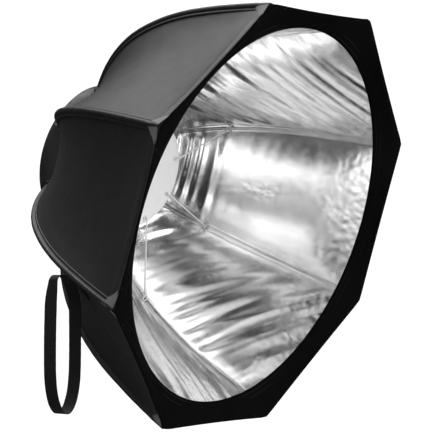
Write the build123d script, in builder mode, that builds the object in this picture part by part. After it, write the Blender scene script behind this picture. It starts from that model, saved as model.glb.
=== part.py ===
from build123d import *
import math
import os

# Collapsible octagonal light modifier with eight curved ribs, a fabric cover with a
# silver liner, a flat front mask with a round opening, and a round deflector plate.
# Frame: origin at the middle of the lamp bore in the rear ring, +Z up, +Y towards the
# lamp behind, so the dish opens towards -Y. Lengths in millimetres, angles in degrees.

# ---- driving dimensions ----
RIBS = 8
PITCH = 360 / RIBS
HALF_PITCH = PITCH / 2
FRONT_Y = -340
CORNER_R = 325
OPENING_R = 273
OPENING_SETBACK = 15

# outline of a rib in its own plane: three tangent arcs and a straight end
LINE_START = 14.12
ARCS = [(1209.2, 6.48), (437.5, 14.96), (239.5, 32.49)]
STRAIGHT_END = 29.16
LINE_END = LINE_START + sum(turn for _, turn in ARCS)

ROD_R = 2.5
SLEEVE_R = 4.6
SLEEVE_BORE_R = 2.7
TIP_SETBACK = 9
COVER_INSET = 2.5
COVER_T = 1.2
COVER_FRONT = 1
COVER_REAR_GAP = 10
COVER_STATIONS = 9
PANEL_SAG = 16
SAG_POWER = 4
MASK_FRONT_GAP = 0.5
LINER_INSET = 12
LINER_T = 0.8
LINER_FRONT = 20
LINER_REAR = 12
LINER_STATIONS = 9
SEAM_GAP = 0.3

# rear ring and the collar that slips over the lamp
LAMP_R = 50
COLLAR_LENGTH = 30
GRIP_T = 2
COLLAR_R = 60
COLLAR_CHAMFER = 1
RUNNING_FIT = 0.08
FLANGE_R = 69.9
FLANGE_POCKET_R = 70.2
FLANGE_CLEARANCE = 0.1
FLANGE_FRONT_Y = -5.1
FLANGE_T = 3
RING_FRONT_Y = -10
RING_REAR_Y = -2
RING_R = 98
BEZEL_REAR_Y = 3
BEZEL_LIP_R = 103
BEZEL_LIP_BORE_R = 98.4
BEZEL_LIP_FRONT_Y = -8
BEZEL_FILLET = 2
SCREW_CIRCLE_R = 84
SCREW_R = 2
SCREW_HEAD_R = 4
SCREW_HEAD_T = 2.5

# pivoting rod sockets
PIVOT_REACH = 8.5
PIN_R = 2
PIN_BORE_R = 2.05
EYE_R = 5.5
SOCKET_HALF_WIDTH = 5.8
SOCKET_HALF_HEIGHT = 4.5
SOCKET_LENGTH = 26
HEEL_GAP = 0.3
SLEEVE_TO_SOCKET = 1
EAR_T = 3
EAR_GAP = 0.2
EAR_R = 6
EAR_ROOT = 1
EAR_OUTER_FACE = SOCKET_HALF_WIDTH + EAR_GAP + EAR_T
NOTCH_HALF_WIDTH = 7.2

# deflector plate on elastic cords
PLATE_R = 78
PLATE_T = 2
PLATE_Y = FRONT_Y + 231
HOOK_CIRCLE_R = 70
HOOK_R = 4
HOOK_BORE_R = 2
HOOK_T = 3.4
CORD_R = 1.1
CORD_START_Y = FRONT_Y + 227
CORD_END_R = 201
CORD_END_Y = FRONT_Y + 233

# pull strap and its tab, beside the rib at 202.5 degrees
STRAP_RIB_ANGLE = 202.5
STRAP_LEAN = 17
STRAP_W = 20
STRAP_T = 1.6
STRAP_TOP = Vector(-270, -204, -128)
STRAP_SPREAD = 49
STRAP_DROP = 176
STRAP_SHORT_LEG_TOP = 36
STRAP_CURL_R = 9
STRAP_CURL = 120
TAB_Y = FRONT_Y + 137
TAB_T = 2
TAB_W = 24
TAB_STAND_OFF = 0.5
TAB_FROM_SEAM = 3
TAB_LENGTH = 58
TAB_CORNER_R = 3
TAB_SEARCH_STEPS = 61

FLAT = math.cos(math.radians(HALF_PITCH))
SLOPE = math.tan(math.radians(HALF_PITCH))
MASK_SHARES = (0.005, 0.33, 0.66, 0.995)

os.makedirs("parts", exist_ok=True)
made = []


def corner_angle(number):
    """Angle of a rib's plane about Y, from +X towards +Z; rib 1 is the upper right one."""
    return HALF_PITCH + (number - 1) * PITCH


def radial(angle):
    """Unit vector away from the axis at an angle."""
    return Vector(math.cos(math.radians(angle)), 0, math.sin(math.radians(angle)))


def rib_plane(angle):
    """Plane through the axis: its x runs outwards, its y is the row's +Y."""
    outwards = radial(angle)
    return Plane(origin=(0, 0, 0), x_dir=outwards, z_dir=outwards.cross(Vector(0, 1, 0)))


def section_plane(y, angle):
    """Plane square to the axis at a height y: its x runs outwards at the angle."""
    return Plane(origin=(0, y, 0), x_dir=radial(angle), z_dir=(0, 1, 0))


def outline_point(inset, setback):
    """Start of the outline, moved in by inset and back along the first arc by setback."""
    first_r = ARCS[0][0]
    turn = math.radians(LINE_START) + setback / first_r
    centre_x = CORNER_R - first_r * math.cos(math.radians(LINE_START))
    centre_y = FRONT_Y - first_r * math.sin(math.radians(LINE_START))
    reach = first_r - inset
    return (centre_x + reach * math.cos(turn), centre_y + reach * math.sin(turn)), math.degrees(turn)


def outline(inset, setback, straight, plane=Plane.XY):
    """Rib outline as a wire, drawn in a plane with x outwards and y along the axis."""
    start, heading = outline_point(inset, setback)
    tangent = (-math.sin(math.radians(heading)), math.cos(math.radians(heading)))
    with BuildLine(plane) as line:
        first = JernArc(start, tangent, ARCS[0][0] - inset, LINE_START + ARCS[0][1] - heading)
        second = JernArc(first @ 1, first % 1, ARCS[1][0] - inset, ARCS[1][1])
        third = JernArc(second @ 1, second % 1, ARCS[2][0] - inset, ARCS[2][1])
        Line(third @ 1, third @ 1 + (third % 1) * straight)
    return line.wire()


def stations(inset, setback, straight, count):
    """Points along an outline as (distance from the axis, y, slope away from the axis, sag).

    The sag is how far the fabric halfway between two ribs lies inside the straight line.
    """
    wire = outline(inset, setback, straight)
    found = []
    for step in range(count):
        share = step / (count - 1)
        place = wire @ share
        heading = wire % share
        lean = math.atan2(-heading.X, heading.Y)
        sag = PANEL_SAG * (1 - abs(2 * share - 1) ** SAG_POWER) / math.cos(lean)
        found.append((place.X, place.Y, lean, sag))
    return found


def save(piece, name):
    """Labels a finished piece and writes it as its own node."""
    piece.part.label = name
    export_step(piece.part, f"parts/{name}.step")
    made.append(name)


def turned(corners):
    """Adds a polygon of (radius, y) corners, turned about Y, to the part that is open."""
    with BuildSketch(Plane.XY) as profile:
        with BuildLine():
            Polyline(*corners, close=True)
        make_face()
    revolve(profile.sketch, axis=Axis.Y)


def drilled(circle_r, hole_r, front_y, rear_y):
    """Cuts a ring of holes along Y out of the part that is open."""
    with BuildSketch(Plane.XZ.offset(-rear_y)) as holes:
        with PolarLocations(circle_r, RIBS):
            Circle(hole_r)
    extrude(holes.sketch, amount=rear_y - front_y, mode=Mode.SUBTRACT)


# ---- parts of the rear ring ----
half_collar = COLLAR_LENGTH / 2
flange_rear_y = FLANGE_FRONT_Y + FLANGE_T
flange_seat_y = FLANGE_FRONT_Y - FLANGE_CLEARANCE

with BuildPart() as lamp_collar:
    turned([
        (LAMP_R + GRIP_T, -half_collar),
        (COLLAR_R, -half_collar),
        (COLLAR_R, FLANGE_FRONT_Y),
        (FLANGE_R, FLANGE_FRONT_Y),
        (FLANGE_R, flange_rear_y),
        (COLLAR_R, flange_rear_y),
        (COLLAR_R, half_collar),
        (LAMP_R + GRIP_T, half_collar),
    ])
    rear_circles = lamp_collar.edges().filter_by(GeomType.CIRCLE).group_by(Axis.Y)[-1]
    chamfer(rear_circles.sort_by(SortBy.RADIUS)[-1], COLLAR_CHAMFER)
save(lamp_collar, "lamp_collar")

with BuildPart() as collar_grip:
    with BuildSketch(Plane.XZ.offset(-half_collar)):
        Circle(LAMP_R + GRIP_T)
        Circle(LAMP_R, mode=Mode.SUBTRACT)
    extrude(amount=COLLAR_LENGTH)
save(collar_grip, "collar_grip")

rod_end = outline(SLEEVE_R, 0, STRAIGHT_END) @ 1
inwards = Vector(-math.sin(math.radians(LINE_END)), math.cos(math.radians(LINE_END)))
pivot = rod_end + inwards * PIVOT_REACH
ear_root_y = RING_FRONT_Y + EAR_ROOT

with BuildPart() as speed_ring:
    turned([
        (COLLAR_R + RUNNING_FIT, RING_FRONT_Y),
        (RING_R, RING_FRONT_Y),
        (RING_R, RING_REAR_Y),
        (FLANGE_POCKET_R, RING_REAR_Y),
        (FLANGE_POCKET_R, flange_seat_y),
        (COLLAR_R + RUNNING_FIT, flange_seat_y),
    ])
    for number in range(1, RIBS + 1):
        plane = rib_plane(corner_angle(number))
        for side in (-1, 1):
            ear_middle = side * (EAR_OUTER_FACE - EAR_T / 2)
            with BuildSketch(plane.offset(ear_middle)):
                with Locations((pivot.X, pivot.Y)):
                    Circle(EAR_R)
                with Locations((pivot.X, (pivot.Y + ear_root_y) / 2)):
                    Rectangle(2 * EAR_R, ear_root_y - pivot.Y)
            extrude(amount=EAR_T / 2, both=True)
        with BuildSketch(plane):
            with Locations((pivot.X, pivot.Y)):
                Circle(PIN_R)
        extrude(amount=EAR_OUTER_FACE, both=True, mode=Mode.SUBTRACT)
    drilled(SCREW_CIRCLE_R, SCREW_R, RING_FRONT_Y, RING_REAR_Y)
save(speed_ring, "speed_ring")

with BuildPart() as ring_bezel:
    turned([
        (COLLAR_R + RUNNING_FIT, RING_REAR_Y),
        (BEZEL_LIP_BORE_R, RING_REAR_Y),
        (BEZEL_LIP_BORE_R, BEZEL_LIP_FRONT_Y),
        (BEZEL_LIP_R, BEZEL_LIP_FRONT_Y),
        (BEZEL_LIP_R, BEZEL_REAR_Y),
        (COLLAR_R + RUNNING_FIT, BEZEL_REAR_Y),
    ])
    rear_circles = ring_bezel.edges().filter_by(GeomType.CIRCLE).group_by(Axis.Y)[-1]
    fillet(rear_circles.sort_by(SortBy.RADIUS)[-1], BEZEL_FILLET)
    drilled(SCREW_CIRCLE_R, SCREW_R, RING_REAR_Y, BEZEL_REAR_Y)
    drilled(SCREW_CIRCLE_R, SCREW_HEAD_R, BEZEL_REAR_Y - SCREW_HEAD_T, BEZEL_REAR_Y)
save(ring_bezel, "ring_bezel")

with BuildPart() as ring_screws:
    with BuildSketch(Plane.XZ.offset(-BEZEL_REAR_Y)):
        with PolarLocations(SCREW_CIRCLE_R, RIBS):
            Circle(SCREW_HEAD_R)
    extrude(amount=SCREW_HEAD_T)
    with BuildSketch(Plane.XZ.offset(-BEZEL_REAR_Y)):
        with PolarLocations(SCREW_CIRCLE_R, RIBS):
            Circle(SCREW_R)
    extrude(amount=BEZEL_REAR_Y - RING_FRONT_Y)
save(ring_screws, "ring_screws")

with BuildPart() as hinge_pins:
    for number in range(1, RIBS + 1):
        with BuildSketch(rib_plane(corner_angle(number))):
            with Locations((pivot.X, pivot.Y)):
                Circle(PIN_R)
        extrude(amount=EAR_OUTER_FACE, both=True)
save(hinge_pins, "hinge_pins")


# ---- ribs: rod, pivoting socket and fabric sleeve ----
def make_rod(number):
    """Spring rod, from its tip behind the front corner to the bottom of its socket."""
    path = outline(SLEEVE_R, TIP_SETBACK, STRAIGHT_END, rib_plane(corner_angle(number)))
    with BuildPart() as rod:
        with BuildSketch(Plane(origin=path @ 0, z_dir=path % 0)):
            Circle(ROD_R)
        sweep(path=path)
    save(rod, f"rod_{number}")


def make_sleeve(number):
    """Sewn channel of the cover around the rod; it stops short of the socket."""
    exposed = SOCKET_LENGTH - PIVOT_REACH + SLEEVE_TO_SOCKET
    path = outline(SLEEVE_R, TIP_SETBACK, STRAIGHT_END - exposed, rib_plane(corner_angle(number)))
    with BuildPart() as sleeve:
        with BuildSketch(Plane(origin=path @ 0, z_dir=path % 0)):
            Circle(SLEEVE_R)
            Circle(SLEEVE_BORE_R, mode=Mode.SUBTRACT)
        sweep(path=path)
    save(sleeve, f"rib_sleeve_{number}")


def make_socket(number):
    """Rod holder that pivots between two ears; its heel stops it in the open position."""
    plane = rib_plane(corner_angle(number))
    heel_depth = RING_FRONT_Y - HEEL_GAP - pivot.Y
    arm_plane = Plane(
        origin=plane.from_local_coords(Vector(pivot.X, pivot.Y, 0)),
        x_dir=plane.from_local_coords(Vector(-inwards.X, -inwards.Y, 0)) - plane.origin,
        z_dir=plane.z_dir,
    )
    with BuildPart() as socket:
        with BuildSketch(plane):
            with Locations((pivot.X, pivot.Y)):
                Circle(EYE_R)
            with Locations((pivot.X + EYE_R / 2, pivot.Y + heel_depth / 2)):
                Rectangle(EYE_R, heel_depth)
        extrude(amount=SOCKET_HALF_WIDTH, both=True)
        with BuildSketch(arm_plane):
            with Locations((SOCKET_LENGTH / 2, 0)):
                Rectangle(SOCKET_LENGTH, 2 * SOCKET_HALF_HEIGHT)
        extrude(amount=SOCKET_HALF_WIDTH, both=True)
        with BuildSketch(plane):
            with Locations((pivot.X, pivot.Y)):
                Circle(PIN_BORE_R)
        extrude(amount=SOCKET_HALF_WIDTH, both=True, mode=Mode.SUBTRACT)
        mouth = arm_plane.origin + arm_plane.x_dir * SOCKET_LENGTH
        with BuildSketch(Plane(origin=mouth, z_dir=-arm_plane.x_dir)):
            Circle(ROD_R)
        extrude(amount=SOCKET_LENGTH - PIVOT_REACH, mode=Mode.SUBTRACT)
    save(socket, f"rod_socket_{number}")


# ---- fabric ----
def make_cover_half(number, side, name):
    """Half of a side panel and of the front mask, from a rib to the panel's centre line."""
    middle = corner_angle(number) + side * HALF_PITCH
    places = stations(COVER_INSET, COVER_FRONT, STRAIGHT_END - COVER_REAR_GAP, COVER_STATIONS)
    with BuildPart() as cover:
        for step, (rho, y, lean, sag) in enumerate(places):
            at_socket = step >= len(places) - 2
            beside_rib = NOTCH_HALF_WIDTH if at_socket else SLEEVE_R + SEAM_GAP
            outer = rho * FLAT
            inner = outer - COVER_T / math.cos(lean)
            outer_edge = outer * SLOPE - beside_rib / FLAT
            inner_edge = inner * SLOPE - beside_rib / FLAT
            with BuildSketch(section_plane(y, middle)):
                with BuildLine():
                    Polyline(
                        (outer - sag, side * SEAM_GAP),
                        (outer, side * outer_edge),
                        (inner, side * inner_edge),
                        (inner - sag, side * SEAM_GAP),
                        close=True,
                    )
                make_face()
        loft(ruled=True)
        for share in MASK_SHARES:
            away = HALF_PITCH * share
            rim = (CORNER_R * FLAT - SLEEVE_R) / math.cos(math.radians(HALF_PITCH - away))
            with BuildSketch(rib_plane(corner_angle(number) + side * away)):
                with BuildLine():
                    Polyline(
                        (rim, FRONT_Y + MASK_FRONT_GAP),
                        (OPENING_R, FRONT_Y + OPENING_SETBACK),
                        (OPENING_R, FRONT_Y + OPENING_SETBACK + COVER_T),
                        (rim, FRONT_Y + MASK_FRONT_GAP + COVER_T),
                        close=True,
                    )
                make_face()
        loft(ruled=True)
    save(cover, name)


def make_liner(number):
    """Silver liner gore centred on a rib, between the centre lines of its two panels."""
    with BuildPart() as liner:
        for rho, y, lean, sag in stations(LINER_INSET, LINER_FRONT, LINER_REAR, LINER_STATIONS):
            inner = rho - LINER_T / math.cos(lean)
            middle = rho * FLAT - sag
            inner_middle = inner * FLAT - sag
            edge = middle * FLAT * SLOPE - SEAM_GAP
            inner_edge = inner_middle * FLAT * SLOPE - SEAM_GAP
            with BuildSketch(section_plane(y, corner_angle(number))):
                with BuildLine():
                    Polyline(
                        (middle * FLAT, -edge),
                        (rho, 0),
                        (middle * FLAT, edge),
                        (inner_middle * FLAT, inner_edge),
                        (inner, 0),
                        (inner_middle * FLAT, -inner_edge),
                        close=True,
                    )
                make_face()
        loft(ruled=True)
    save(liner, f"liner_{number}")


for number in range(1, RIBS + 1):
    make_rod(number)
    make_sleeve(number)
    make_socket(number)
    make_liner(number)
    make_cover_half(number, 1, f"cover_{number}a")
    make_cover_half(number, -1, f"cover_{number}b")

# ---- deflector ----
with BuildPart() as deflector_plate:
    with BuildSketch(Plane.XZ.offset(-PLATE_Y - PLATE_T / 2)):
        Circle(PLATE_R)
        with PolarLocations(HOOK_CIRCLE_R, RIBS, start_angle=HALF_PITCH):
            Circle(HOOK_R, mode=Mode.SUBTRACT)
    extrude(amount=PLATE_T)
save(deflector_plate, "deflector_plate")

with BuildPart() as cord_grommets:
    with BuildSketch(Plane.XZ.offset(-PLATE_Y - PLATE_T / 2)):
        with PolarLocations(HOOK_CIRCLE_R, RIBS, start_angle=HALF_PITCH):
            Circle(HOOK_R)
            Circle(HOOK_BORE_R, mode=Mode.SUBTRACT)
    extrude(amount=HOOK_T)
save(cord_grommets, "cord_grommets")

with BuildPart() as deflector_cords:
    for number in range(1, RIBS + 1):
        outwards = radial(corner_angle(number))
        start = outwards * HOOK_CIRCLE_R + Vector(0, CORD_START_Y, 0)
        end = outwards * CORD_END_R + Vector(0, CORD_END_Y, 0)
        with BuildSketch(Plane(origin=start, z_dir=end - start)):
            Circle(CORD_R)
        extrude(amount=(end - start).length)
save(deflector_cords, "deflector_cords")

# ---- pull strap ----
panel_out = radial(STRAP_RIB_ANGLE + HALF_PITCH)
away_from_rib = panel_out.cross(Vector(0, 1, 0))
places = stations(COVER_INSET, COVER_FRONT, STRAIGHT_END, TAB_SEARCH_STEPS)
tab_rho, tab_y, tab_lean, tab_sag = min(places, key=lambda place: abs(place[1] - TAB_Y))
panel_normal = panel_out * math.cos(tab_lean) + Vector(0, 1, 0) * math.sin(tab_lean)
half_cover = tab_rho * FLAT * SLOPE - (SLEEVE_R + SEAM_GAP) / FLAT
tilt = math.atan2(tab_sag * math.cos(tab_lean), half_cover)
tab_along = away_from_rib * math.cos(tilt) - panel_normal * math.sin(tilt)
tab_normal = panel_normal * math.cos(tilt) + away_from_rib * math.sin(tilt)
seam = panel_out * tab_rho * FLAT + Vector(0, tab_y, 0) - away_from_rib * half_cover
tab_centre = seam + tab_along * (TAB_FROM_SEAM + TAB_LENGTH / 2) + tab_normal * TAB_STAND_OFF
with BuildPart() as strap_tab:
    with BuildSketch(Plane(origin=tab_centre, x_dir=tab_along, z_dir=tab_normal)):
        RectangleRounded(TAB_LENGTH, TAB_W, TAB_CORNER_R)
    extrude(amount=TAB_T)
save(strap_tab, "strap_tab")

strap_plane = Plane(
    origin=STRAP_TOP,
    x_dir=(1, 0, 0),
    z_dir=(0, -math.cos(math.radians(STRAP_LEAN)), math.sin(math.radians(STRAP_LEAN))),
)
half_spread = STRAP_SPREAD / 2
with BuildPart() as strap_loop:
    with BuildSketch(strap_plane):
        with BuildLine():
            curl = JernArc((0, 0), (0, 1), STRAP_CURL_R, -STRAP_CURL)
            left = Line(curl @ 0, (0, -STRAP_DROP + half_spread))
            bend = JernArc(left @ 1, (0, -1), half_spread, 180)
            Line(bend @ 1, (STRAP_SPREAD, -STRAP_SHORT_LEG_TOP))
            offset(amount=STRAP_T / 2, side=Side.BOTH)
        make_face()
    extrude(amount=STRAP_W / 2, both=True)
save(strap_loop, "strap_loop")

print(len(made), "nodes; rod pivot at", round(pivot.X, 2), round(pivot.Y, 2))
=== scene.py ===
import math

import bpy
from mathutils import Matrix, Vector, noise


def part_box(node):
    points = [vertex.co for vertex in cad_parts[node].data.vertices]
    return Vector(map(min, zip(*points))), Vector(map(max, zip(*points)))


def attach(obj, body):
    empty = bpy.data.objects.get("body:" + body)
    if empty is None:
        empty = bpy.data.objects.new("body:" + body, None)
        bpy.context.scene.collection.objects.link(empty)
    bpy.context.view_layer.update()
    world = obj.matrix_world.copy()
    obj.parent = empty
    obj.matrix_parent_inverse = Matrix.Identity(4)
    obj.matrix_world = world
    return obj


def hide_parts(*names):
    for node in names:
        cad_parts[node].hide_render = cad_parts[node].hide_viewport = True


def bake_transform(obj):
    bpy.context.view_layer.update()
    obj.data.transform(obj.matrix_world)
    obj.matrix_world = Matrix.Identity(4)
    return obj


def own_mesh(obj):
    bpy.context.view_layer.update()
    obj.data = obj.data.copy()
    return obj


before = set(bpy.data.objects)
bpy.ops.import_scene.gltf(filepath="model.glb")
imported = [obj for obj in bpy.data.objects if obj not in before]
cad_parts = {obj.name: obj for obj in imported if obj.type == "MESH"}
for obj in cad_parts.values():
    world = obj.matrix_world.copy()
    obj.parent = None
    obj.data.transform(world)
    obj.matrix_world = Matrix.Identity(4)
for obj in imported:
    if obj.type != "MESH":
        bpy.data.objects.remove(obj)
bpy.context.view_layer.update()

# A collapsible octagonal light modifier: black fabric cover on eight curved ribs, crinkled
# silver liner, front mask with a round opening, deflector plate on elastic cords, pull strap.
# Metres and radians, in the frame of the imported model: the dish opens towards -Y.

# ---- driving dimensions ----
RIBS = 8
PITCH = 2 * math.pi / RIBS
HALF_PITCH = PITCH / 2
FRONT_Y = -0.340
CORNER_R = 0.325
OPENING_R = 0.273
OPENING_SETBACK = 0.015
LINE_START = math.radians(14.12)
ARCS = [(1.2092, math.radians(6.48)), (0.4375, math.radians(14.96)), (0.2395, math.radians(32.49))]
STRAIGHT_END = 0.02916
RUN = sum(radius * turn for radius, turn in ARCS) + STRAIGHT_END

PANEL_SAG = 0.017
SAG_SHARPNESS = 2.4
FABRIC_T = 0.0009

COVER_INSET = 0.0046
COVER_FRONT_RUN = 0.0090
COVER_REAR_RUN = RUN - 0.008
HEM_W = 0.012
HEM_LIFT = 0.0007
HEM_ROWS = (0.0022, 0.0100)  # the two rows of stitches, in front of the hem's end

TUBE_R = 0.0034
TUBE_INSET = 0.0038
FLANGE_W = 0.0068
FLANGE_T = 0.0006
CHANNEL_FRONT_RUN = 0.004
CHANNEL_REAR_RUN = RUN - 0.020
CHANNEL_T = 0.0007
FLANGE_SEAM = 0.0046  # how far from the rib's plane the flange is sewn down
EDGING_R = 0.0006

LINER_INSET = 0.0120
LINER_FRONT_RUN = 0.018
LINER_REAR_RUN = RUN - 0.012
LINER_T = 0.0005
LINER_SEAM_DEPTH = LINER_INSET - 0.0040

POCKET_FRONT_RUN = 0.0046
POCKET_RUN = 0.030
POCKET_W = 0.027
POCKET_T = 0.0008
SHARP_ANGLE = math.radians(50)
UP = Vector((0, 0, 1))
BACK = Vector((0, 1, 0))


def radial(angle):
    """Unit vector away from the axis, from +X towards +Z."""
    return Vector((math.cos(angle), 0, math.sin(angle)))


def rib_angle(number):
    return HALF_PITCH + (number - 1) * PITCH


def smooth(share):
    share = min(1, max(0, share))
    return share * share * (3 - 2 * share)


def rib_point(run, inset=0.0):
    """Distance from the axis, y and turn of a rib's outline, a run behind the front corner."""
    reach, y, turn = CORNER_R, FRONT_Y, LINE_START
    for radius, sweep in ARCS:
        step = min(max(run, 0) / radius, sweep)
        reach += radius * (math.cos(turn + step) - math.cos(turn))
        y += radius * (math.sin(turn + step) - math.sin(turn))
        turn += step
        run -= radius * sweep
    if run > 0:
        reach -= run * math.sin(turn)
        y += run * math.cos(turn)
    return reach - inset * math.cos(turn), y - inset * math.sin(turn), turn


def run_at(y, inset=0.0):
    """Run where a rib's outline, or a line inset from it, is nearest to a given y."""
    steps = 400
    runs = [RUN * k / steps for k in range(steps + 1)]
    return min(runs, key=lambda run: abs(rib_point(run, inset)[1] - y))


class Side:
    """Half of a panel, from the plane of its rib to the middle between two ribs."""

    def __init__(self, number, letter):
        self.turn = 1 if letter == "a" else -1
        self.angle = rib_angle(number)
        self.rib = f"rib_{number}"
        self.gore = f"gore_{number}{letter}"
        self.name = f"{number}{letter}"
        self.out = radial(self.angle)
        self.across = radial(self.angle + self.turn * math.pi / 2)
        self.middle = radial(self.angle + self.turn * HALF_PITCH)


SIDES = [Side(number, letter) for number in range(1, RIBS + 1) for letter in "ab"]


def sag(run, share):
    """How far the fabric between two ribs falls inside the straight line between them."""
    along = 1 - abs(2 * run / RUN - 1) ** 4
    return PANEL_SAG * along * (1 - (1 - share) ** SAG_SHARPNESS)


def panel_point(side, run, share, inset):
    """Point of a stretched panel: share is 0 at the rib's plane and 1 in the middle."""
    reach, y, turn = rib_point(run, inset)
    outwards = side.middle * math.cos(turn) + BACK * math.sin(turn)
    chord = side.out * (reach * (1 - share)) + side.middle * (reach * math.cos(HALF_PITCH) * share)
    return chord + BACK * y - outwards * sag(run, share), outwards


def half_width(run):
    return rib_point(run)[0] * math.sin(HALF_PITCH)


# ---- meshes ----
class Mesh:
    """Points, faces and cloth coordinates of one piece, collected before it is made."""

    def __init__(self):
        self.points, self.faces, self.cloth = [], [], []

    def point(self, place, cloth=(0, 0)):
        self.points.append(Vector(place))
        self.cloth.append(cloth)
        return len(self.points) - 1

    def grid(self, rows, columns, place):
        """Quads over a grid; place(u, v) gives a point and its cloth coordinates."""
        start = len(self.points)
        width = columns + 1
        for row in range(rows + 1):
            for column in range(width):
                self.point(*place(row / rows, column / columns))
        for row in range(rows):
            for column in range(columns):
                corner = start + row * width + column
                self.faces.append((corner, corner + 1, corner + width + 1, corner + width))
        return start

    def sheet(self, rows, columns, place, thickness):
        """A grid with a second layer behind it and a rim, as woven cloth has a thickness."""
        start = self.grid(rows, columns, place)
        width = columns + 1
        count = (rows + 1) * width
        normals = [Vector((0, 0, 0)) for _ in range(count)]
        own = [face for face in self.faces if min(face) >= start]
        for face in own:
            a, b, c, d = (self.points[i] for i in face)
            normal = (c - a).cross(d - b)
            for i in face:
                normals[i - start] += normal
        for i in range(count):
            back = self.points[start + i] - normals[i].normalized() * thickness
            self.point(back, self.cloth[start + i])
        for face in own:
            self.faces.append(tuple(i + count for i in reversed(face)))
        rim = [start + c for c in range(width)]
        rim += [start + r * width + columns for r in range(1, rows + 1)]
        rim += [start + rows * width + c for c in reversed(range(columns))]
        rim += [start + r * width for r in reversed(range(1, rows))]
        for here, there in zip(rim, rim[1:] + rim[:1]):
            self.faces.append((there, here, here + count, there + count))

    def tube(self, path, radius, sides=10, closed=False):
        """Round tube along a list of points."""
        count = len(path)
        rings = []
        travelled = 0.0
        for i, place in enumerate(path):
            ahead = path[(i + 1) % count] if closed or i + 1 < count else place
            behind = path[i - 1] if closed or i > 0 else place
            travelled += (place - path[i - 1]).length if i else 0
            way = (ahead - behind).normalized()
            first = UP if abs(way.z) < 0.8 else BACK
            first = (first - way * first.dot(way)).normalized()
            second = way.cross(first)
            ring = []
            for k in range(sides):
                turn = 2 * math.pi * k / sides
                offset = first * (math.cos(turn) * radius) + second * (math.sin(turn) * radius)
                ring.append(self.point(place + offset, (turn * radius, travelled)))
            rings.append(ring)
        pairs = list(zip(rings, rings[1:] + (rings[:1] if closed else [])))
        for one, two in pairs:
            for k in range(sides):
                after = (k + 1) % sides
                self.faces.append((one[k], one[after], two[after], two[k]))
        if not closed:
            self.faces.append(tuple(reversed(rings[0])))
            self.faces.append(tuple(rings[-1]))

    def lathe(self, profile, steps=96):
        """Closed profile of (radius, y) turned about the Y axis."""
        count = len(profile)
        start = len(self.points)
        for step in range(steps):
            share = step / steps
            for k, (radius, y) in enumerate(profile):
                place = radial(2 * math.pi * share) * radius + BACK * y
                self.point(place, (share * radius, k / count))
        for step in range(steps):
            for k in range(count):
                here, there = start + step * count, start + (step + 1) % steps * count
                after = (k + 1) % count
                self.faces.append((here + k, here + after, there + after, there + k))

    def stitches(self, place, length, pitch=0.0034, thread=0.00032, share=0.72):
        """Row of sewn stitches; place(t) gives a point and the cloth's normal, t from 0 to 1."""
        count = max(1, int(length / pitch))
        for i in range(count):
            first, normal = place((i + (1 - share) / 2) / count)
            last, _ = place((i + (1 + share) / 2) / count)
            way = (last - first).normalized()
            side = way.cross(normal).normalized() * thread
            middle = (first + last) / 2 + normal * thread * 1.5
            sunk = normal * thread
            a, b = self.point(first - sunk), self.point(last - sunk)
            c, d = self.point(middle + side - sunk), self.point(middle - side - sunk)
            top = self.point(middle)
            self.faces += [(a, c, top), (c, b, top), (b, d, top), (d, a, top), (a, d, b, c)]

    def make(self, name, material):
        mesh = bpy.data.meshes.new(name)
        mesh.from_pydata(self.points, [], self.faces)
        mesh.validate()
        layer = mesh.uv_layers.new(name="cloth")
        for loop in mesh.loops:
            layer.data[loop.index].uv = self.cloth[loop.vertex_index]
        for polygon in mesh.polygons:
            polygon.use_smooth = True
        mesh.set_sharp_from_angle(angle=SHARP_ANGLE)
        mesh.materials.append(material)
        made = bpy.data.objects.new(name, mesh)
        bpy.context.scene.collection.objects.link(made)
        return made


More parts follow.
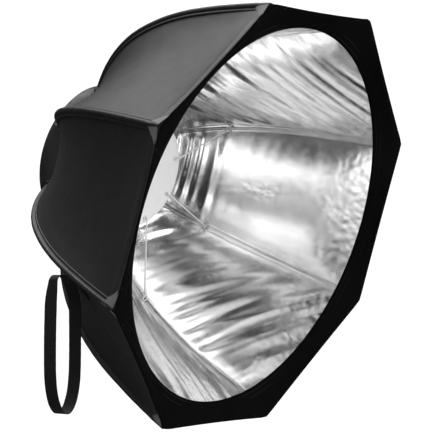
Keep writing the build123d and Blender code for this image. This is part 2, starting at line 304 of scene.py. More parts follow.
# ---- materials ----
class Look:
    """A material with one shader; its values are set on the shader's own sockets."""

    def __init__(self, name, roughness, metallic=0.0, **sockets):
        self.material = bpy.data.materials.new(name)
        self.material.use_nodes = True
        self.tree = self.material.node_tree
        self.shader = self.tree.nodes["Principled BSDF"]
        self.shader.inputs["Roughness"].default_value = roughness
        self.shader.inputs["Metallic"].default_value = metallic
        for socket, value in sockets.items():
            self.shader.inputs[socket.replace("_", " ")].default_value = value
        self.height = None

    def node(self, kind, inputs=(), **settings):
        node = self.tree.nodes.new(kind)
        for key, value in settings.items():
            setattr(node, key, value)
        for key, value in dict(inputs).items():
            if isinstance(value, bpy.types.NodeSocket):
                self.tree.links.new(value, node.inputs[key])
            else:
                node.inputs[key].default_value = value
        return node

    def place(self, cloth=False, scale=(1, 1, 1)):
        """Cloth coordinates along and across the fabric, or the place in the frame."""
        source = self.node("ShaderNodeTexCoord").outputs["UV" if cloth else "Object"]
        return self.node("ShaderNodeMapping", {"Vector": source, "Scale": scale}).outputs[0]

    def noise(self, scale, detail=3, where=None, roughness=0.5):
        where = where or self.place()
        made = self.node(
            "ShaderNodeTexNoise",
            {"Vector": where, "Scale": scale, "Detail": detail, "Roughness": roughness},
        )
        return made.outputs["Fac"]

    def threads(self, pitch, direction):
        """Bands of one thread pitch in metres, along or across the cloth."""
        return self.node(
            "ShaderNodeTexWave",
            {"Vector": self.place(cloth=True), "Scale": 2 * math.pi / (20 * pitch)},
            wave_type="BANDS",
            bands_direction=direction,
        ).outputs["Fac"]

    def mix(self, share, first, second):
        """Colour between two colours; sockets 6, 7 and 2 are the colour ones of a Mix node."""
        inputs = {"Factor": share, 6: first, 7: second}
        return self.node("ShaderNodeMix", inputs, data_type="RGBA").outputs[2]

    def ramp(self, value, low, high, low_at=0.3, high_at=0.7):
        made = self.node("ShaderNodeValToRGB", {"Fac": value})
        made.color_ramp.elements[0].position, made.color_ramp.elements[0].color = low_at, low
        made.color_ramp.elements[1].position, made.color_ramp.elements[1].color = high_at, high
        return made.outputs["Color"]

    def spread(self, value, low, high):
        return self.node(
            "ShaderNodeMapRange", {"Value": value, "To Min": low, "To Max": high}
        ).outputs["Result"]

    def join(self, first, second, how="MAXIMUM"):
        return self.node("ShaderNodeMath", {0: first, 1: second}, operation=how).outputs[0]

    def colour(self, socket):
        self.tree.links.new(socket, self.shader.inputs["Base Color"])

    def rough(self, socket):
        self.tree.links.new(socket, self.shader.inputs["Roughness"])

    def bump(self, height, distance, strength=1.0):
        """Adds a bump on top of the ones already made."""
        inputs = {"Height": height, "Distance": distance, "Strength": strength}
        if self.height:
            inputs["Normal"] = self.height
        self.height = self.node("ShaderNodeBump", inputs).outputs["Normal"]
        self.tree.links.new(self.height, self.shader.inputs["Normal"])


def grey(value, tint=(1.0, 1.0, 1.0)):
    return (value * tint[0], value * tint[1], value * tint[2], 1)


COOL = (0.97, 0.99, 1.04)


def woven(name, dark, light, pitch, roughness, sheen, thread_bump=0.00012, specular=0.35):
    """Plain woven nylon: two sets of threads, uneven dye, soft creases and a sheen."""
    look = Look(name, roughness, Specular_IOR_Level=specular, Sheen_Weight=sheen,
                Sheen_Roughness=0.45)
    warp, weft = look.threads(pitch, "X"), look.threads(pitch, "Y")
    weave = look.join(warp, weft, "MULTIPLY")
    uneven = look.noise(9, detail=4)
    share = look.join(look.spread(weave, 0.0, 0.5), look.spread(uneven, 0.0, 0.6), "ADD")
    look.colour(look.mix(share, grey(dark, COOL), grey(light, COOL)))
    look.rough(look.spread(look.noise(60, detail=5), roughness - 0.08, roughness + 0.10))
    look.bump(look.noise(28, detail=4), 0.0006, 0.5)
    look.bump(weave, thread_bump, 0.8)
    return look.material


def silver_cloth():
    """Aluminised liner cloth: satin bright, with fine crinkles and a faint weave."""
    look = Look("silver_liner_cloth", 0.24, metallic=0.97)
    worn = look.noise(14, detail=6)
    look.colour(look.ramp(worn, grey(0.68), grey(0.82)))
    look.rough(look.spread(look.noise(45, detail=5), 0.12, 0.26))
    look.bump(look.noise(60, detail=5, roughness=0.5), 0.0004, 0.30)
    look.bump(look.noise(220, detail=6, roughness=0.65), 0.0003, 0.22)
    weave = look.join(look.threads(0.0011, "X"), look.threads(0.0011, "Y"), "MULTIPLY")
    look.bump(weave, 0.00008, 0.5)
    return look.material


def webbing(name, dark, light):
    """Narrow woven webbing with a herringbone of thick threads."""
    look = Look(name, 0.66, Sheen_Weight=0.03, Sheen_Roughness=0.4, Specular_IOR_Level=0.22)
    where = look.place(cloth=True, scale=(1, 0.5, 1))
    bands = look.node(
        "ShaderNodeTexWave",
        {"Vector": where, "Scale": 2 * math.pi / (20 * 0.0016)},
        wave_type="BANDS",
        bands_direction="DIAGONAL",
    ).outputs["Fac"]
    look.colour(look.mix(bands, grey(dark, COOL), grey(light, COOL)))
    look.bump(bands, 0.0003, 0.8)
    look.bump(look.noise(400, detail=3), 0.0001, 0.4)
    return look.material


def moulded(name, dark, light, roughness, scale=900, depth=0.00008):
    """Moulded plastic with a fine grain and rubbed, shinier patches."""
    look = Look(name, roughness, Specular_IOR_Level=0.45)
    look.colour(look.ramp(look.noise(30, detail=5), grey(dark), grey(light)))
    look.rough(look.spread(look.noise(55, detail=6), roughness - 0.10, roughness + 0.12))
    look.bump(look.noise(scale, detail=2), depth, 0.6)
    return look.material


def brushed(name, value, roughness):
    """Turned or drawn metal with fine scratches and faint stains."""
    look = Look(name, roughness, metallic=1.0)
    look.colour(look.ramp(look.noise(40, detail=5), grey(value * 0.8), grey(value)))
    look.rough(look.spread(look.noise(700, detail=2), roughness - 0.08, roughness + 0.12))
    look.bump(look.noise(1500, detail=2), 0.00003, 0.5)
    return look.material


COVER = woven("cover_nylon", 0.0100, 0.0190, 0.0011, 0.46, 0.03, specular=0.30)
MASK = woven("mask_nylon", 0.0016, 0.0032, 0.0011, 0.85, 0.0, specular=0.03)
PIPING = woven("piping_cloth", 0.012, 0.022, 0.0008, 0.50, 0.10)
# Pocket webbing: base colour set lighter than the cover's to stand in for its sheen, painted sheen
# added on top of the real Sheen Weight.
BINDING = woven("pocket_webbing", 0.070, 0.120, 0.0013, 0.55, 0.30)
SILVER = silver_cloth()
STRAP = webbing("strap_webbing", 0.003, 0.009)
THREAD = woven("sewing_thread", 0.012, 0.022, 0.0004, 0.6, 0.1)
ELASTIC = webbing("elastic_cord", 0.80, 0.95)
CLIP = moulded("clip_plastic", 0.72, 0.88, 0.42)
DARK_PLASTIC = moulded("ring_plastic", 0.012, 0.022, 0.38)
COLLAR_PLASTIC = moulded("collar_plastic", 0.020, 0.032, 0.46)
RUBBER = moulded("grip_rubber", 0.014, 0.022, 0.78, scale=500, depth=0.0002)
RING_METAL = brushed("ring_metal", 0.34, 0.34)
STEEL = brushed("screw_steel", 0.55, 0.26)


def deflector_look():
    """Matte light grey sheet with a very soft mottle."""
    look = Look("deflector_sheet", 0.55, Specular_IOR_Level=0.35)
    look.colour(look.ramp(look.noise(18, detail=5), grey(0.84), grey(0.90)))
    look.rough(look.spread(look.noise(80, detail=4), 0.48, 0.66))
    look.bump(look.noise(700, detail=3), 0.00006, 0.6)
    return look.material


DEFLECTOR = deflector_look()


def rod_look():
    """Glass fibre rod: long fibres under a smooth resin."""
    look = Look("rod_fibre", 0.32, Coat_Weight=0.4, Coat_Roughness=0.15)
    fibres = look.noise(240, detail=5)
    look.colour(look.ramp(fibres, grey(0.05), grey(0.12)))
    look.bump(fibres, 0.0001, 0.4)
    return look.material


ROD = rod_look()


def carry_over(names, material):
    """Gives CAD nodes that stay in view a better material."""
    for name in names:
        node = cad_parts[name]
        node.data.materials.clear()
        node.data.materials.append(material)
        node.data.polygons.foreach_set("material_index", [0] * len(node.data.polygons))


carry_over(["lamp_collar"], COLLAR_PLASTIC)
carry_over(["collar_grip"], RUBBER)
carry_over(["speed_ring"], RING_METAL)
carry_over(["ring_bezel"], DARK_PLASTIC)
carry_over(["ring_screws", "hinge_pins"], STEEL)
carry_over([f"rod_{n}" for n in range(1, RIBS + 1)], ROD)
carry_over([f"rod_socket_{n}" for n in range(1, RIBS + 1)], DARK_PLASTIC)
carry_over(["deflector_plate"], DEFLECTOR)
carry_over(["cord_grommets"], CLIP)


# ---- placing pieces ----
def follow_side(piece):
    """Fabric beside a rib: bakes its placement into its mesh."""
    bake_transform(piece)


def cut(first, last):
    """Flat size and area of a half panel between two runs."""
    steps = 40
    length = last - first
    width = max(half_width(first + length * i / steps) for i in range(steps + 1))
    rows = sum(half_width(first + length * (i + 0.5) / steps) for i in range(steps))
    return (width, length), rows * length / steps


# ---- cover ----
def cover_wrinkle(place, share):
    """Soft uneven pull in the cover, none where it is sewn to the rib."""
    broad = noise.noise(place * 11)
    fine = noise.noise(place * 34 + Vector((3, 1, 7)))
    return (0.0009 * broad + 0.0003 * fine) * smooth(share * 3)


def make_cover(side):
    """Outer fabric of a half panel, with a folded hem along its front edge."""
    cloth = Mesh()
    hem_end = COVER_FRONT_RUN + HEM_W

    def place(u, v):
        share = v if side.turn > 0 else 1 - v
        eased = 1 - (1 - u) ** 1.15 if u else 0
        run = COVER_FRONT_RUN + (COVER_REAR_RUN - COVER_FRONT_RUN) * eased
        point, outwards = panel_point(side, run, share, COVER_INSET)
        lift = HEM_LIFT * (1 - smooth((run - hem_end) / 0.0015))
        edge = 0.0010 * (1 - smooth((run - COVER_FRONT_RUN) / 0.0022))
        point = point + outwards * (lift - edge + cover_wrinkle(point, share))
        return point, (side.turn * share * half_width(run), run)

    cloth.sheet(120, 28, place, FABRIC_T)
    piece = cloth.make(f"cover_cloth_{side.name}", COVER)
    follow_side(piece)
    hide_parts(f"cover_{side.name}")
    flat, area = cut(COVER_FRONT_RUN, COVER_REAR_RUN)

    rows = Mesh()
    for in_front in HEM_ROWS:
        run = hem_end - in_front

        def seam(t, run=run):
            share = 0.05 + 0.95 * t
            point, outwards = panel_point(side, run, share, COVER_INSET)
            return point + outwards * (HEM_LIFT + cover_wrinkle(point, share)), outwards

        rows.stitches(seam, half_width(run))
    row = rows.make(f"cover_stitching_{side.name}", THREAD)
    follow_side(row)


# ---- front mask ----
# Run behind the rim and depth under the outline: tuck, lip, piping, groove, rolled edge.
MASK_SIDE = [
    (0.0150, 0.0062), (0.0120, 0.0058), (0.0078, 0.0056), (0.0070, 0.0048), (0.0066, 0.0034),
    (0.0060, 0.0022), (0.0050, 0.0016), (0.0040, 0.0020), (0.0034, 0.0032), (0.0030, 0.0040),
    (0.0026, 0.0032), (0.0020, 0.0018), (0.0010, 0.0008), (0.0002, 0.0004),
]
# Distance outside the opening's edge and behind it: the hem turned back inside.
MASK_HEM = [(-0.0010, 0.0006), (-0.0008, 0.0022), (0.0020, 0.0030), (HEM_W, 0.0026)]
MASK_CLOTH = (0.1244, 0.09)  # a half mask laid flat: half the rim's side, and its depth
OPENING_ROWS = (0.0030, HEM_W - 0.0016)  # the two rows of stitches, outside the opening
FACE_ROWS = 18
CORNER_ROUND = 0.022
EDGE_HOLLOW = 0.0020
PIPING_RUN, PIPING_DEPTH, PIPING_R = 0.0050, 0.0024, 0.0014


def rim_drop(share):
    """Rounding of the corner over the rod's tip, and the edge's slight hollow between ribs."""
    from_corner = share * CORNER_R * math.sin(HALF_PITCH)
    reach = CORNER_ROUND * math.tan(HALF_PITCH) * 2
    depth = CORNER_ROUND / math.cos(HALF_PITCH) - CORNER_ROUND
    return depth * max(0, 1 - from_corner / reach) ** 2 + EDGE_HOLLOW * (1 - (1 - share) ** 2)


def mask_profile(side, share):
    """Points of the mask's section at one place round the rim, from the tuck to the hem."""
    section = []
    outwards = side.middle * math.cos(LINE_START) + BACK * math.sin(LINE_START)
    for run, depth in MASK_SIDE:
        point, _ = panel_point(side, run, share, 0)
        section.append(point - outwards * (depth + rim_drop(share)))
    rim = section[-1] - side.middle * 0.0012
    bearing = Vector((rim.x, 0, rim.z)).normalized()
    inner = bearing * OPENING_R + BACK * (FRONT_Y + OPENING_SETBACK)
    width = (rim - inner).length
    for i in range(1, FACE_ROWS + 1):
        t = i / FACE_ROWS
        point = rim.lerp(inner, t)
        crown = 0.0016 * math.sin(math.pi * min(1, t * 3) / 2) * (1 - t)
        ripple = 0.0007 * noise.noise(point * 30) * math.sin(math.pi * t)
        hem = 0.0006 * smooth((t * width - width + HEM_W) / 0.0012)
        section.append(point - BACK * (crown + ripple + hem))
    section += [inner + bearing * outside + BACK * behind for outside, behind in MASK_HEM]
    return section


def make_mask(side):
    cloth = Mesh()
    columns = 30
    shares = [(k / columns) ** 1.3 for k in range(columns + 1)]
    sections = [mask_profile(side, share) for share in shares]
    rows = len(sections[0]) - 1

    def place(u, v):
        k = round(v * columns)
        k = k if side.turn > 0 else columns - k
        point = sections[k][round(u * rows)]
        return point, (side.turn * shares[k] * MASK_CLOTH[0], u * MASK_CLOTH[1])

    cloth.sheet(rows, columns, place, FABRIC_T)
    piece = cloth.make(f"mask_cloth_{side.name}", MASK)
    follow_side(piece)
    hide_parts(f"cover_{side.name}")

    cord = Mesh()
    path = []
    for k in range(25):
        share = k / 24
        point, outwards = panel_point(side, PIPING_RUN, share, 0)
        path.append(point - outwards * (PIPING_DEPTH + rim_drop(share)))
    cord.tube(path, PIPING_R, sides=8)
    rim = cord.make(f"rim_piping_{side.name}", PIPING)
    follow_side(rim)

    rows_made = Mesh()
    for from_edge in OPENING_ROWS:

        def seam(t, from_edge=from_edge):
            bearing = radial(side.angle + side.turn * HALF_PITCH * t)
            front = FRONT_Y + OPENING_SETBACK - from_edge * 0.35 - 0.0010
            return bearing * (OPENING_R + from_edge) + BACK * front, -BACK

        rows_made.stitches(seam, OPENING_R * HALF_PITCH)
    row = rows_made.make(f"mask_stitching_{side.name}", THREAD)
    follow_side(row)


# ---- silver liner ----
# Panel, by the bearing of its middle in degrees: slant of its folds, folds per metre, height of
# the folds and of the crinkles.
LINER_FOLDS = {
    0: (0.05, 40, 0.0004, 0.0007), 45: (-0.80, 52, 0.0018, 0.0004),
    90: (-0.70, 30, 0.0006, 0.0003), 135: (0.60, 50, 0.0020, 0.0004),
    180: (0.20, 42, 0.0020, 0.0006), 225: (-0.50, 50, 0.0024, 0.0004),
    270: (-3.20, 15, 0.0030, 0.0004), 315: (0.62, 42, 0.0038, 0.0006),
}
RUMPLED_PANEL = 0  # the panel whose rear part is deeply rumpled


def liner_crease(side, place, run, share):
    """Folds of the liner across a panel, soft in the middle and crinkled near the front edge."""
    panel = round(math.degrees(side.angle + side.turn * HALF_PITCH)) % 360
    slant, pitch, height, crinkle = LINER_FOLDS[panel]
    aside = side.turn * (share - 1) * half_width(run)
    phase = run + slant * aside
    fold = noise.noise(Vector((phase * pitch, aside * 7, panel)))
    fold += 0.5 * noise.noise(Vector((phase * pitch * 2.1, aside * 12, panel + 5)))
    patchy = smooth(0.5 + 1.2 * noise.noise(place * 6 + Vector((2, 5, panel))))
    deep = smooth((run / RUN - 0.62) / 0.10) if panel == RUMPLED_PANEL else 0
    rear = noise.noise(Vector((run * 62, aside * 3, 11)))
    front = smooth(1.25 - run / RUN * 4)
    rough = abs(noise.noise(place * 70))
    rough += 0.6 * abs(noise.noise(place * 140 + Vector((9, 2, 4))))
    cluster = smooth(1 - abs(aside) / 0.035) * smooth(1.6 * noise.noise(place * 12) + 0.6)
    shape = height * fold * (0.35 + 0.65 * patchy) + 0.0062 * deep * rear
    shape += crinkle * rough * max(front * 1.6, cluster, 0.15)
    shape += 0.0020 * noise.noise(Vector((run * 9, aside * 8, panel + 20)))
    return shape * (0.12 + 0.88 * smooth(share * 4))


def make_liner(side):
    cloth = Mesh()

    def place(u, v):
        share = 1 - v if side.turn > 0 else v
        run = LINER_FRONT_RUN + (LINER_REAR_RUN - LINER_FRONT_RUN) * u
        point, outwards = panel_point(side, run, share, LINER_INSET)
        tuck = 0.0045 * (1 - smooth(share * half_width(run) / 0.006))
        point = point - outwards * (liner_crease(side, point, run, share) - tuck)
        return point, (side.turn * share * half_width(run), run)

    cloth.sheet(140, 40, place, LINER_T)
    piece = cloth.make(f"liner_cloth_{side.name}", SILVER)
    follow_side(piece)
    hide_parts(f"liner_{side.name[0]}")
    flat, area = cut(LINER_FRONT_RUN, LINER_REAR_RUN)


# ---- what is sewn along each rib ----
def rib_frame(number, run):
    """Outline point, direction away from the axis side and direction along the rib."""
    out = radial(rib_angle(number))
    reach, y, turn = rib_point(run)
    outwards = out * math.cos(turn) + BACK * math.sin(turn)
    along = BACK * math.cos(turn) - out * math.sin(turn)
    return out * reach + BACK * y, outwards, along


def channel_section():
    """Half of the channel's section as (sideways, depth): round tube, seam groove, sewn flange."""
    half = []
    for k in range(9):
        turn = math.radians(90 - k * 13.5)
        half.append((TUBE_R * math.cos(turn), TUBE_INSET - TUBE_R * math.sin(turn)))
    slope = math.tan(HALF_PITCH)
    flange = [(0.0039, -0.0004), (0.0044, -0.0002), (0.0050, 0.0004), (0.0056, FLANGE_T),
              (FLANGE_W, 0.0005), (FLANGE_W + 0.0003, 0.0000), (FLANGE_W + 0.0001, -0.0006)]
    for sideways, lift in flange:
        half.append((sideways, COVER_INSET + sideways * slope - lift))
    return half


def make_channel(number):
    sideways = radial(rib_angle(number) + math.pi / 2)
    half = channel_section()
    section = [(-s, d) for s, d in reversed(half)] + half[1:]
    slope = math.tan(HALF_PITCH)
    tube = Mesh()

    def place(u, v):
        run = CHANNEL_FRONT_RUN + (CHANNEL_REAR_RUN - CHANNEL_FRONT_RUN) * u
        origin, outwards, _ = rib_frame(number, run)
        s, depth = section[round(v * (len(section) - 1))]
        narrow = min(1, 0.55 + rib_point(run)[0] * 2)
        puff = 0.00025 * noise.noise(origin * 90 + Vector((s * 300, 0, 0)))
        return origin + sideways * s * narrow - outwards * (depth - puff), (s, run)

    tube.sheet(150, len(section) - 1, place, CHANNEL_T)
    piece = tube.make(f"rib_channel_{number}", COVER)
    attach(piece, f"rib_{number}")
    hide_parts(f"rib_sleeve_{number}")

    rows = Mesh()
    for way in (-1, 1):

        def seam(t, way=way):
            run = POCKET_RUN + (CHANNEL_REAR_RUN - POCKET_RUN) * t
            origin, outwards, _ = rib_frame(number, run)
            depth = COVER_INSET + FLANGE_SEAM * slope
            normal = (outwards + sideways * way * slope).normalized()
            return origin + sideways * FLANGE_SEAM * way - outwards * depth, normal

        rows.stitches(seam, CHANNEL_REAR_RUN - POCKET_RUN)
    row = rows.make(f"rib_stitching_{number}", THREAD)
    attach(row, f"rib_{number}")

    edge = Mesh()
    first_run = POCKET_RUN * 0.6
    s = FLANGE_W - EDGING_R
    depth = COVER_INSET + s * slope - EDGING_R
    for way in (-1, 1):
        path = []
        for k in range(61):
            run = first_run + (CHANNEL_REAR_RUN - first_run) * k / 60
            origin, outwards, _ = rib_frame(number, run)
            path.append(origin + sideways * s * way - outwards * depth)
        edge.tube(path, EDGING_R, sides=6)
    trim = edge.make(f"rib_edging_{number}", PIPING)
    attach(trim, f"rib_{number}")


def make_pocket(number):
    """Kite of webbing folded over the rod's tip at the front corner, sewn round its edge."""
    angle = rib_angle(number)
    sideways = radial(angle + math.pi / 2)
    slope = math.tan(HALF_PITCH)
    first_run = POCKET_FRONT_RUN

    def surface(s, run, lift):
        """Two flat faces meeting in a fold over the rod, from the ridge down to the cover."""
        origin, outwards, _ = rib_frame(number, run)
        edge = edge_width(run)
        share = edge / half_width(run)
        low = COVER_INSET + edge * slope + sag(run, share) - 0.0006
        ridge = TUBE_INSET - TUBE_R - 0.0004
        fold = math.sqrt((s / edge) ** 2 + 0.0016) if edge else 0
        depth = ridge + (low - ridge) * min(1, fold)
        return origin + sideways * s - outwards * (depth - lift)

    def edge_width(run):
        return POCKET_W * (1 - (run - first_run) / (POCKET_RUN - first_run)) ** 0.9 + 0.0015

    patch = Mesh()

    def place(u, v):
        run = POCKET_RUN + (first_run - POCKET_RUN) * u
        s = (2 * v - 1) * edge_width(run)
        rolled = 0.0006 * (1 - smooth((1 - abs(2 * v - 1)) * edge_width(run) / 0.0012))
        return surface(s, run, 0.0009 - rolled), (s, run)

    patch.sheet(26, 32, place, POCKET_T)
    piece = patch.make(f"corner_pocket_{number}", BINDING)
    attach(piece, f"rib_{number}")

    rows = Mesh()
    for way in (-1, 1):

        def seam(t, way=way):
            run = first_run + 0.002 + (POCKET_RUN - first_run - 0.004) * t
            s = way * max(0.001, edge_width(run) - 0.0022)
            place_now = surface(s, run, 0.0012)
            _, outwards, _ = rib_frame(number, run)
            return place_now, (outwards + sideways * way * slope).normalized()

        rows.stitches(seam, math.hypot(POCKET_RUN, POCKET_W), pitch=0.0028)
    row = rows.make(f"pocket_stitching_{number}", THREAD)
    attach(row, f"rib_{number}")


def make_liner_seam(number):
    """Raised seam of the liner along a rib, seen from inside the dish."""
    sideways = radial(rib_angle(number) + math.pi / 2)
    seam = Mesh()
    half = [(0.0000, 0.0030), (0.0005, 0.0027), (0.0012, 0.0021), (0.0020, 0.0016)]
    section = [(-s, rise) for s, rise in reversed(half)] + half[1:]
    first_run, last_run = LINER_FRONT_RUN + 0.002, LINER_REAR_RUN - 0.002

    def place(u, v):
        run = first_run + (last_run - first_run) * u
        origin, outwards, _ = rib_frame(number, run)
        s, rise = section[round((1 - v) * (len(section) - 1))]
        wave = 0.0006 * noise.noise(origin * 40)
        depth = LINER_SEAM_DEPTH + rise + wave
        return origin + sideways * (s + wave) - outwards * depth, (s, run)

    seam.sheet(90, len(section) - 1, place, 0.0006)
    piece = seam.make(f"liner_seam_{number}", SILVER)
    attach(piece, f"rib_{number}")


# ---- deflector, cords and their clips ----
plate_low, plate_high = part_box("deflector_plate")
PLATE_FRONT, PLATE_BACK = plate_low.y, plate_high.y
PLATE_R = plate_high.x
HOOK_CIRCLE_R = 0.070
CORD_R = 0.0011
KNOT_R = 0.0024
HOOK_R, HOOK_WIRE_R = 0.0042, 0.0009
CLIP_RING = (0.0040, 0.0050)  # half its height, towards the rib, and half its width
CLIP_WIRE_R = 0.0011
CLIP_TAB_W = 0.0080
PLATE_EDGE = (0.0022, 0.0016)  # half the width and half the thickness of the bound edge
CORD_START = (HOOK_CIRCLE_R, FRONT_Y + 0.227)
CORD_END = (0.201, FRONT_Y + 0.233)


def make_plate_rim():
    """Bound edge of the deflector plate."""
    middle = (PLATE_FRONT + PLATE_BACK) / 2
    profile = []
    for k in range(12):
        turn = 2 * math.pi * k / 12
        reach = PLATE_R - 0.0008 + PLATE_EDGE[0] * math.cos(turn)
        profile.append((reach, middle + PLATE_EDGE[1] * math.sin(turn)))
    rim = Mesh()
    rim.lathe(profile, steps=128)
    piece = rim.make("deflector_rim", DEFLECTOR)
    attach(piece, "deflector")


def make_cord(number):
    """Elastic cord from a grommet of the deflector to the hook at a rib."""
    out = radial(rib_angle(number))
    route = [
        (HOOK_CIRCLE_R, PLATE_BACK + 0.0040), (HOOK_CIRCLE_R - 0.0010, PLATE_FRONT - 0.0030),
        (HOOK_CIRCLE_R + 0.0040, PLATE_FRONT - 0.0042),
        (HOOK_CIRCLE_R + 0.016, CORD_START[1] + 0.0004),
    ]
    reach_gain, y_gain = CORD_END[0] - CORD_START[0], CORD_END[1] - CORD_START[1]
    for k in range(3, 12):
        route.append((CORD_START[0] + reach_gain * k / 12, CORD_START[1] + y_gain * k / 12))
    route.append((CORD_END[0] - 0.004, CORD_END[1]))
    cord = Mesh()
    cord.tube([out * reach + BACK * y for reach, y in route], CORD_R, sides=10)
    knot = out * HOOK_CIRCLE_R + BACK * (PLATE_BACK + 0.0042)
    ball = [knot + BACK * (KNOT_R * math.cos(math.pi * k / 6)) for k in range(7)]
    for k in range(1, 6):
        slice_r = KNOT_R * math.sin(math.pi * k / 6) + 0.0004
        cord.tube([ball[k] - BACK * 0.0004, ball[k] + BACK * 0.0004], slice_r, sides=10)
    hook = []
    centre = out * (CORD_END[0] + 0.0005) + BACK * CORD_END[1]
    for k in range(11):
        turn = math.radians(200 - k * 25)
        hook.append(centre + out * (HOOK_R * math.cos(turn)) + BACK * (HOOK_R * math.sin(turn)))
    hook.insert(0, out * (CORD_END[0] - 0.0085) + BACK * CORD_END[1])
    cord.tube(hook, HOOK_WIRE_R, sides=8)
    piece = cord.make(f"elastic_cord_{number}", ELASTIC)
    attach(piece, "deflector")
    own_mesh(piece)
    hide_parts("deflector_cords")


def make_clip(number):
    """Webbing loop on the liner's seam with the plastic ring that takes the cord's hook."""
    angle = rib_angle(number)
    out, sideways = radial(angle), radial(angle + math.pi / 2)
    centre = out * (CORD_END[0] + 0.0062) + BACK * CORD_END[1]
    ring = Mesh()
    loop = []
    for k in range(20):
        turn = 2 * math.pi * k / 20
        high, wide = CLIP_RING[0] * math.cos(turn), CLIP_RING[1] * math.sin(turn)
        loop.append(centre + out * high + sideways * wide)
    ring.tube(loop, CLIP_WIRE_R, sides=8, closed=True)
    piece = ring.make(f"cord_ring_{number}", CLIP)
    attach(piece, f"rib_{number}")

    origin, outwards, along = rib_frame(number, run_at(CORD_END[1], LINER_INSET))
    foot = origin - outwards * (LINER_INSET - 0.004)
    tab = Mesh()
    start = centre + out * 0.0045
    path = [foot - along * 0.012, foot - along * 0.006, foot.lerp(start, 0.35) - along * 0.001,
            start, start + BACK * 0.0024 - out * 0.0012, foot.lerp(start, 0.35) + along * 0.003,
            foot + along * 0.008, foot + along * 0.014]

    def place(u, v):
        spot = u * (len(path) - 1)
        k = min(int(spot), len(path) - 2)
        point = path[k].lerp(path[k + 1], spot - k) + sideways * (CLIP_TAB_W * (v - 0.5))
        return point, (CLIP_TAB_W * v, u * 0.04)

    tab.sheet(28, 4, place, 0.0008)
    band = tab.make(f"cord_tab_{number}", BINDING)
    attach(band, f"rib_{number}")


# ---- fabric at the rear ring ----
BAND_START_RUN = COVER_REAR_RUN - 0.006
BAND_LIFT, BAND_BULGE, BAND_GATHER = 0.0009, 0.0020, 0.0001


def make_rear_band(side):
    """Gathered band from the rear edge of a half panel to the bezel's lip."""
    band = Mesh()
    lip_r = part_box("ring_bezel")[1].x

    def place(u, v):
        share = v if side.turn > 0 else 1 - v
        edge, outwards = panel_point(side, BAND_START_RUN, share, COVER_INSET)
        bearing = radial(side.angle + side.turn * HALF_PITCH * share)
        lip = bearing * (lip_r + 0.0006) + BACK * -0.0010
        point = edge.lerp(lip, u)
        gather = BAND_GATHER * math.sin(share * math.pi * 5) * math.sin(math.pi * u)
        lift = BAND_BULGE * math.sin(math.pi * u) + gather + BAND_LIFT
        return point + (outwards + bearing).normalized() * lift, (share * 0.04, u * 0.02)

    band.sheet(10, 60, place, FABRIC_T)
    piece = band.make(f"rear_band_{side.name}", COVER)
    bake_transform(piece)


# ---- pull strap ----
STRAP_SIDE = Side(5, "a")
STRAP_TOP = Vector((-0.270, -0.204, -0.128))
STRAP_LEAN = math.radians(17)
STRAP_DOWN = Vector((0, -math.sin(STRAP_LEAN), -math.cos(STRAP_LEAN)))
STRAP_ACROSS = Vector((0, math.cos(STRAP_LEAN), -math.sin(STRAP_LEAN)))
STRAP_W = 0.020
STRAP_T = 0.0016
STRAP_SPREAD = 0.049
STRAP_DROP = 0.178
STRAP_SHORT_TOP = 0.036
STRAP_CURL_R = 0.009
STRAP_NARROW = 0.050  # length at the top of the long leg that is folded narrower
FLAP_LEAN, FLAP_RISE = 0.021, 0.008  # the short leg's end leans in and rises to the patch
TAB_W = 0.026
TAB_LENGTH = 0.062
TAB_START = 0.008
TAB_T = 0.0016
TAB_LIFT = 0.0024
TAB_SEAM = 0.003


def make_strap():
    """Loop of webbing: curled over at the top of the long leg, pinched at the bottom."""
    right = Vector((1, 0, 0))
    path = []
    for k in range(13):
        turn = math.radians(120 * (1 - k / 12))
        path.append((STRAP_CURL_R * (1 - math.cos(turn)), -STRAP_CURL_R * math.sin(turn)))
    steps = 40
    half = STRAP_SPREAD / 2

    def gap(down):
        """Half the gap between the legs: even at the top, then closing to the pinched bottom."""
        share = max(0, (down / STRAP_DROP - 0.62) / 0.38)
        bow = 0.0025 * math.sin(math.pi * down / STRAP_DROP)
        return half * math.sqrt(max(0, 1 - share ** 2.6)) + bow

    for k in range(1, steps + 1):
        down = STRAP_DROP * math.sin(math.pi / 2 * k / steps)
        path.append((half - gap(down), down))
    for k in range(1, steps):
        down = STRAP_DROP * math.cos(math.pi / 2 * k / steps)
        if down > STRAP_SHORT_TOP:
            path.append((half + gap(down), down))
    top_x = path[-1][0]
    for k in range(1, 9):
        share = k / 8
        down = (STRAP_SHORT_TOP + FLAP_RISE) * (1 - share) - FLAP_RISE
        path.append((top_x - FLAP_LEAN * share * share, down))
    centre = [STRAP_TOP + right * x + STRAP_DOWN * d for x, d in path]
    band = Mesh()
    travelled = [0.0]
    for one, two in zip(centre, centre[1:]):
        travelled.append(travelled[-1] + (two - one).length)

    def place(u, v):
        k = round(u * (len(centre) - 1))
        edge = 0.0001 * math.sin(travelled[k] * 2 * math.pi / 0.004)
        offset = (v - 0.5) * (STRAP_W + 2 * edge)
        if v > 0.5:
            offset *= 1 - 0.75 * smooth(1 - travelled[k] / STRAP_NARROW)
        return centre[k] + STRAP_ACROSS * offset, (offset, travelled[k])

    band.sheet(len(centre) - 1, 8, place, STRAP_T)
    piece = band.make("pull_strap", STRAP)
    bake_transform(piece)
    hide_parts("strap_loop")


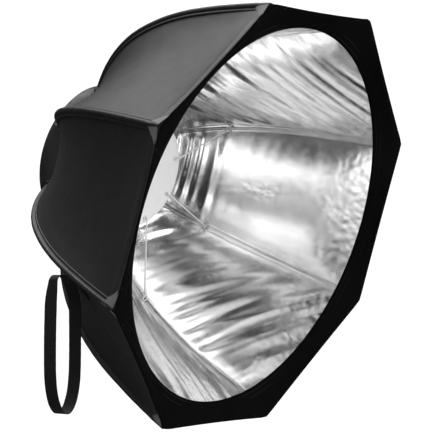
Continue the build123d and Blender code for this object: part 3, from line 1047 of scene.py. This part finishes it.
def make_strap_tab():
    """Patch of webbing sewn to the panel beside the rib, which takes the strap's ends."""
    side = STRAP_SIDE
    run = run_at(STRAP_TOP.y)
    half = half_width(run)
    patch = Mesh()

    def spot(s, t, lift):
        point, outwards = panel_point(side, run + t, s / half, COVER_INSET)
        return point + outwards * (lift + cover_wrinkle(point, s / half)), outwards

    def place(u, v):
        s = TAB_START + TAB_LENGTH * u
        t = TAB_W * (0.5 - v)
        return spot(s, t, TAB_LIFT)[0], (t, s)

    patch.sheet(30, 12, place, TAB_T)
    piece = patch.make("strap_patch", STRAP)
    follow_side(piece)
    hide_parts("strap_tab")
    rows = Mesh()
    near, far = TAB_START + TAB_SEAM, TAB_START + TAB_LENGTH - TAB_SEAM
    aside = TAB_W / 2 - TAB_SEAM
    corners = [(near, -aside), (far, -aside), (far, aside), (near, aside), (near, -aside)]
    for (s0, t0), (s1, t1) in zip(corners, corners[1:]):

        def seam(t, s0=s0, t0=t0, s1=s1, t1=t1):
            return spot(s0 + (s1 - s0) * t, t0 + (t1 - t0) * t, TAB_LIFT + 0.0002)

        rows.stitches(seam, math.hypot(s1 - s0, t1 - t0), pitch=0.0030)
    row = rows.make("strap_patch_stitching", THREAD)
    follow_side(row)


for side in SIDES:
    make_cover(side)
    make_mask(side)
    make_liner(side)
    make_rear_band(side)
for number in range(1, RIBS + 1):
    make_channel(number)
    make_pocket(number)
    make_liner_seam(number)
    make_cord(number)
    make_clip(number)
make_plate_rim()
make_strap()
make_strap_tab()

# ---- camera, floor and light ----
CAMERA_AIM = Vector((-0.0425, -0.2799, -0.0112))
CAMERA_DISTANCE = 2.8646
CAMERA_AZIMUTH = math.radians(-55.447)
CAMERA_ELEVATION = math.radians(9.346)
CAMERA_ROLL = math.radians(14.207)
CAMERA_LENS = 171.39
FLOOR_HALF, FLOOR_Z = 1.0, -3.0
BRIGHT_SIDE = (-0.88, -0.16, 0.45)
GLOW = {"From Min": 0.52, "From Max": 0.90, "To Min": 0.02, "To Max": 0.95}
SEEN_WHITE = 1.1  # the backdrop's strength where the camera sees it directly
LIGHT_AIM = (0, -0.17, 0)
LIGHTS = [  # name, place, side of its square, watts
    ("key_light", (-2.6, -1.9, 0.9), 2.0, 18),
    ("front_light", (1.5, -2.8, 1.0), 2.8, 104),
    ("rim_light", (0.0, 2.0, 2.6), 3.0, 140),
]


def make_camera():
    data = bpy.data.cameras.new("camera")
    data.lens, data.sensor_width = CAMERA_LENS, 36
    data.clip_end = 50
    camera = bpy.data.objects.new("camera", data)
    back = Vector((
        math.sin(CAMERA_AZIMUTH) * math.cos(CAMERA_ELEVATION),
        -math.cos(CAMERA_AZIMUTH) * math.cos(CAMERA_ELEVATION),
        math.sin(CAMERA_ELEVATION),
    ))
    turned = (-back).to_track_quat("-Z", "Y").to_matrix() @ Matrix.Rotation(CAMERA_ROLL, 3, "Z")
    camera.matrix_world = Matrix.Translation(CAMERA_AIM + back * CAMERA_DISTANCE) @ turned.to_4x4()
    bpy.context.scene.collection.objects.link(camera)
    bpy.context.scene.camera = camera


def make_light(name, place, size, power):
    data = bpy.data.lights.new(name, "AREA")
    data.shape, data.size, data.size_y, data.energy = "RECTANGLE", size, size, power
    light = bpy.data.objects.new(name, data)
    light.rotation_mode = "QUATERNION"
    light.location = place
    light.rotation_quaternion = (Vector(LIGHT_AIM) - Vector(place)).to_track_quat("-Z", "Y")
    bpy.context.scene.collection.objects.link(light)


def make_floor():
    data = bpy.data.meshes.new("floor")
    corners = ((-1, -1), (1, -1), (1, 1), (-1, 1))
    data.from_pydata([(x * FLOOR_HALF, y * FLOOR_HALF, FLOOR_Z) for x, y in corners],
                     [], [(0, 1, 2, 3)])
    floor = bpy.data.objects.new("floor", data)
    look = Look("floor_paper", 0.9)
    look.colour(look.ramp(look.noise(2, detail=2), grey(0.80), grey(0.84)))
    floor.data.materials.append(look.material)
    bpy.context.scene.collection.objects.link(floor)


def make_world():
    """White studio: bright on one side and dim elsewhere, plain white where the camera sees it."""
    world = bpy.data.worlds.new("studio")
    bpy.context.scene.world = world
    world.use_nodes = True
    tree = world.node_tree
    background = tree.nodes["Background"]
    way = tree.nodes.new("ShaderNodeTexCoord")
    facing = tree.nodes.new("ShaderNodeVectorMath")
    facing.operation = "DOT_PRODUCT"
    facing.inputs[1].default_value = BRIGHT_SIDE
    tree.links.new(way.outputs["Generated"], facing.inputs[0])
    glow = tree.nodes.new("ShaderNodeMapRange")
    glow.interpolation_type = "SMOOTHSTEP"
    for socket, value in GLOW.items():
        glow.inputs[socket].default_value = value
    tree.links.new(facing.outputs["Value"], glow.inputs["Value"])
    rays = tree.nodes.new("ShaderNodeLightPath")
    seen = tree.nodes.new("ShaderNodeMapRange")
    seen.inputs["To Max"].default_value = SEEN_WHITE
    tree.links.new(rays.outputs["Is Camera Ray"], seen.inputs["Value"])
    tree.links.new(glow.outputs["Result"], seen.inputs["To Min"])
    tree.links.new(seen.outputs["Result"], background.inputs["Strength"])
    background.inputs["Color"].default_value = (1, 1, 1, 1)


make_camera()
make_floor()
make_world()
for name, place, size, power in LIGHTS:
    make_light(name, place, size, power)
bpy.context.scene.view_settings.view_transform = "Standard"
